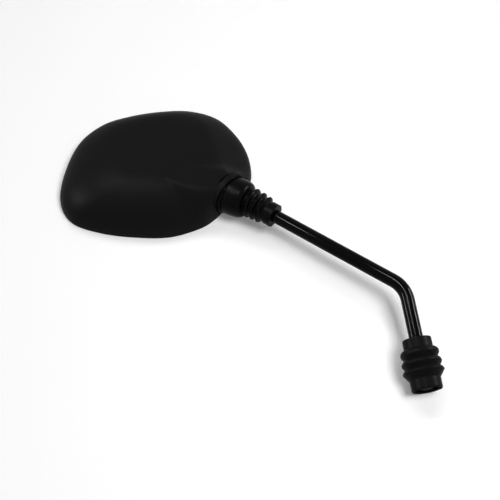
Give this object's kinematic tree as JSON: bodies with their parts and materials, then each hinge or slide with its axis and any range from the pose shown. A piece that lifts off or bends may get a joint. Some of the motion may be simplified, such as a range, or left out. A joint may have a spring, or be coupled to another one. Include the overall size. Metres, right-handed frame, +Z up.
{
  "type": "motorcycle mirror",
  "caption": "Convex mirror in a moulded oval housing on a booted ball joint, with a bent rod and a threaded stud under a bellows boot.",
  "frame": {"origin": "on the stud's axis, at the face where the adapter seats on the handlebar perch", "axes": "+Z up along the rod's lower leg, +X outboard on the right-hand side, +Y to the front of the motorcycle; the glass looks back along -Y"},
  "size_m": [0.256, 0.0823, 0.2692],
  "materials": {
    "housing_plastic": "black, fine moulded grain",
    "rod_paint": "black, gloss powder coat",
    "base_rubber": "black, smooth and semi-matt",
    "neck_rubber": "black, smooth and semi-gloss",
    "black_steel": "black oxide, satin",
    "zinc_steel": "bright zinc plate",
    "spring_steel": "oiled spring wire",
    "bearing_plastic": "natural, smooth",
    "carrier_plastic": "black, plain",
    "foam": "dark grey foam",
    "mirror_glass": "convex, silvered"
  },
  "bodies": {
    "mount": {"adapter": "black_steel"},
    "arm": {"rod": "rod_paint"},
    "washer": {"lock_washer": "zinc_steel"},
    "nut": {"lock_nut": "black_steel"},
    "boot_low": {"base_boot": "base_rubber"},
    "neck": {"neck_boot": "neck_rubber"},
    "socket": {"ball_seat": "bearing_plastic", "pressure_cup": "bearing_plastic"},
    "head": {"housing": "housing_plastic", "clamp_plate": "zinc_steel", "clamp_screws": "zinc_steel", "joint_spring": "spring_steel", "carrier": "carrier_plastic", "carrier_screws": "zinc_steel", "glass_pad": "foam", "glass": "mirror_glass"}
  },
  "joints": [
    {"name": "arm_swing", "type": "hinge", "parent": "mount", "child": "arm", "pos_m": [0, 0, 0], "axis": [0, 0, 1], "range_deg": [-180, 180]},
    {"name": "boot_slide", "type": "slide", "parent": "arm", "child": "boot_low", "axis": [0, 0, 1], "range_m": [0, 0.028]},
    {"name": "washer_lift", "type": "slide", "parent": "arm", "child": "washer", "axis": [0, 0, 1], "range_m": [0, 0.0025]},
    {"name": "nut_turn", "type": "hinge", "parent": "washer", "child": "nut", "pos_m": [0, 0, 0.014], "axis": [0, 0, 1], "range_deg": [0, 721]},
    {"name": "neck_spin", "type": "hinge", "parent": "arm", "child": "neck", "pos_m": [0.12076, -0.03304, 0.17402], "axis": [-0.7145, 0.1955, -0.6717], "continuous": true},
    {"name": "head_tilt", "type": "hinge", "parent": "neck", "child": "socket", "pos_m": [0.12076, -0.03304, 0.17402], "axis": [0.4075, 0.8968, -0.1725], "range_deg": [-10.8, 24.2], "deforming": ["neck_boot"]},
    {"name": "head_turn", "type": "hinge", "parent": "socket", "child": "head", "pos_m": [0.12076, -0.03304, 0.17402], "axis": [-0.6428, 0.1475, -0.7517], "continuous": true}
  ],
  "couplings": [
    {"joint": "nut_turn", "follows": "washer_lift", "rad_per_m": 5026.5}
  ]
}
